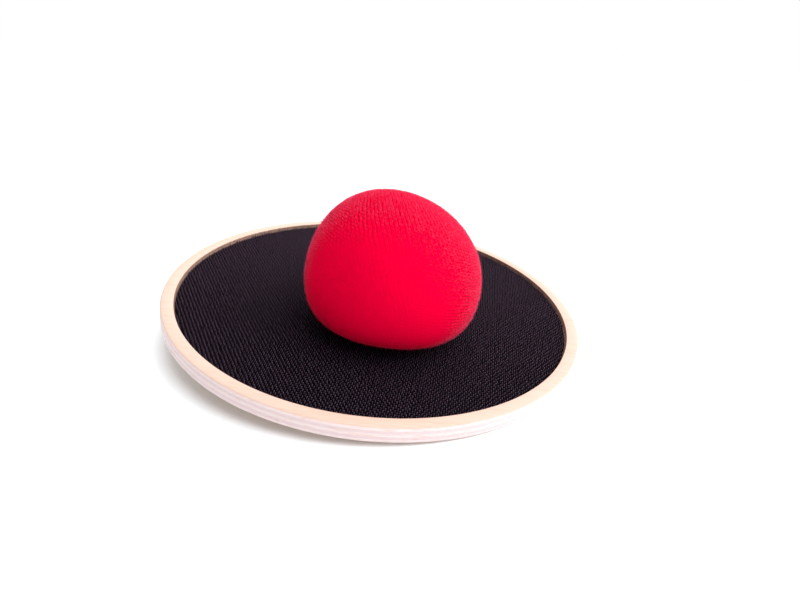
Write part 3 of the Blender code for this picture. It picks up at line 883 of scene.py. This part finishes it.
fibre_faces = np.arange(fuzz_count)[:, None, None] * len(spike_points) + spike_faces[None]
fibre_open = np.repeat((skin_open[chosen] * shares[:, :, 0]).sum(axis=1), len(spike_points))
fuzz = mesh_piece("ball_fuzz", fibres.reshape(-1, 3), fibre_faces.reshape(-1, spike_faces.shape[1]).tolist(),
                  "open_knit", fibre_open)

brushed, brushed_shader = new_finish("brushed_red_fibre", {"Roughness": 0.9, "Specular IOR Level": 0.1})
brushed_place = add_node(brushed, "ShaderNodeTexCoord").outputs["Object"]
brushed_tone = toned(brushed, speckle(brushed, brushed_place, 2.5 * MM), (0.3, "#dcd0d0"), (0.7, "#ffffff"))
brushed_open = add_node(brushed, "ShaderNodeAttribute", attribute_name="open_knit").outputs["Fac"]
# Painted sheen: fibres where the knit is open are coloured a paler pink.
fibre_painted_sheen = toned(brushed, brushed_open, (0.1, "#e60839"), (0.8, "#ff5c82"))
feed(brushed, multiplied(brushed, 1.0, fibre_painted_sheen, brushed_tone), brushed_shader, "Base Color")
fuzz.data.materials.append(brushed)
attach(fuzz, "ball")


# Gather thread: red polyester, wound through the cover's folds, pulled tight and knotted.
# The knot sits on top of the ring, with two cut ends that hang down the cover.
gather_low, gather_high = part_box("ball_gather_thread")
gather_middle = (gather_low + gather_high) / 2
gather_strand = 0.26 * MM
gather_ring = (gather_high.x - gather_low.x) / 2 - 2 * gather_strand
gather_turns = 3
turn_steps = 48
turn_sway = 0.8 * gather_strand
turn_lift = 0.9 * gather_strand
sway_rate = 1.37
lift_rate = 1.61
lift_start = 0.4
winding = []
for step in range(gather_turns * turn_steps + 1):
    angle = 2 * math.pi * step / turn_steps
    reach = gather_ring + turn_sway * math.sin(sway_rate * angle)
    lift = turn_lift * math.cos(lift_rate * angle + lift_start)
    winding.append((gather_middle.x + reach * math.sin(angle), gather_middle.y + lift,
                    gather_middle.z + reach * math.cos(angle)))
knot_middle = Vector((gather_middle.x, gather_high.y, gather_middle.z + gather_ring))
knot_reach = 1.7 * gather_strand
knot_depth = 0.8 * knot_reach
knot_wave = 0.45
knot = []
for step in range(turn_steps + 1):
    angle = 2 * math.pi * step / turn_steps
    reach = knot_reach * (1 + knot_wave * math.cos(3 * angle))
    knot.append(knot_middle + Vector((reach * math.cos(2 * angle), knot_depth * math.sin(3 * angle),
                                      reach * math.sin(2 * angle))))
cut_end_steps = 8
cut_ends = []
for side, drop in ((-1, 5.2 * MM), (1, 3.9 * MM)):
    cut_end = []
    for step in range(cut_end_steps + 1):
        share = step / cut_end_steps
        aside = side * (0.4 + 1.6 * share ** 0.7) * MM
        outward = (0.5 + 1.3 * math.sin(1.9 * share)) * MM
        rise = 0.6 * MM * math.sin(3 * share) - drop * share ** 2
        cut_end.append(knot_middle + Vector((aside, outward, rise)))
    cut_ends.append(cut_end)
gather = thread("gather_thread", [winding, knot, *cut_ends], gather_strand)
gather.data.materials.append(spun_thread("red_polyester_thread", "#9c0022", "#d8063a"))
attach(gather, "ball")
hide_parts("ball_gather_thread")


# Stage: a white table that the tilted paddle leans on, a white room that is brighter behind the paddle, and
# a wide soft light from the upper right. The paddle rests on its lowest edge and on the pressed strap, so in
# its own frame the table slopes. The table glows a little, as paper does in an over-exposed picture.
lean_towards = Vector((0.648, -0.761))
table_slope = 0.0
for x, z in half_strap:
    strap_edge = Vector((x, crown_low.y))
    drop = board_low.z - (z - strap_thickness / 2)
    table_slope = max(table_slope, drop / (board_radius - strap_edge.dot(lean_towards)))
table_level = board_low.z - table_slope * board_radius
table_normal = Vector((-table_slope * lean_towards.x, -table_slope * lean_towards.y, 1)).normalized()
table_size = 8.0
table_turn = Vector((0, 0, 1)).rotation_difference(table_normal).to_euler()
table = start_from(bpy.ops.mesh.primitive_plane_add, "table", size=table_size, location=(0, 0, table_level),
                   rotation=table_turn)
paper = new_finish("white_paper_table", {
    "Base Color": srgb("#f7fafc"), "Roughness": 0.9, "Specular IOR Level": 0.1,
    "Emission Color": (1, 1, 1, 1), "Emission Strength": 0.11})[0]
table.data.materials.append(paper)

room = bpy.data.worlds.new("white_room")
room.use_nodes = True
bpy.context.scene.world = room
room_light = room.node_tree.nodes["Background"]
room_light.inputs["Color"].default_value = (0.97, 0.99, 1.01, 1)
brighter_side = Vector((0.48, 0.78, 0.40)).normalized()
darkest_side = -0.6
brightest = 1.70
room_way = add_node(room, "ShaderNodeTexCoord").outputs["Generated"]
room_side = maths(room, "DOT_PRODUCT", room_way, brighter_side, kind="ShaderNodeVectorMath", result="Value")
feed(room, ranged(room, room_side, darkest_side, 1.0, 0.0, brightest), room_light, "Strength")
room_sight = add_node(room, "ShaderNodeBackground", {"Color": (1, 1, 1, 1), "Strength": 1.0})
room_path = add_node(room, "ShaderNodeLightPath")
room_mix = add_node(room, "ShaderNodeMixShader", links={0: room_path.outputs["Is Camera Ray"],
                                                        1: room_light.outputs[0], 2: room_sight.outputs[0]})
feed(room, room_mix.outputs[0], room.node_tree.nodes["World Output"], "Surface")

key_from = Vector((0.48, 0.14, 0.86))
key_width = math.radians(90)
key_strength = 3.8
bpy.ops.object.select_all(action="DESELECT")
bpy.ops.object.light_add(type="SUN", location=key_from)
key = bpy.context.object
key.name = "soft_key"
key.data.angle = key_width
key.data.energy = key_strength
key.rotation_euler = (-key_from).to_track_quat("-Z", "Y").to_euler()

# Camera: at the photograph's angle, low over the front edge, rolled a little as the paddle leans.
camera_place = Vector((5.84, -237.93, 139.72)) * MM
camera_forward = Vector((0.0246, 0.8843, -0.4663))
camera_up = Vector((-0.1256, 0.4655, 0.8761))
camera_shift = -3.5
picture_width = 800
bpy.ops.object.camera_add(location=camera_place)
camera = bpy.context.object
camera.name = "photo_camera"
camera.data.sensor_width = 36.0
camera.data.lens = 27.0
camera.data.shift_x = camera_shift / picture_width
camera.data.clip_start = 0.005
back = -camera_forward.normalized()
right = camera_up.cross(back).normalized()
camera.rotation_euler = Matrix((right, back.cross(right), back)).transposed().to_euler()
bpy.context.scene.camera = camera
bpy.context.scene.view_settings.view_transform = "Standard"
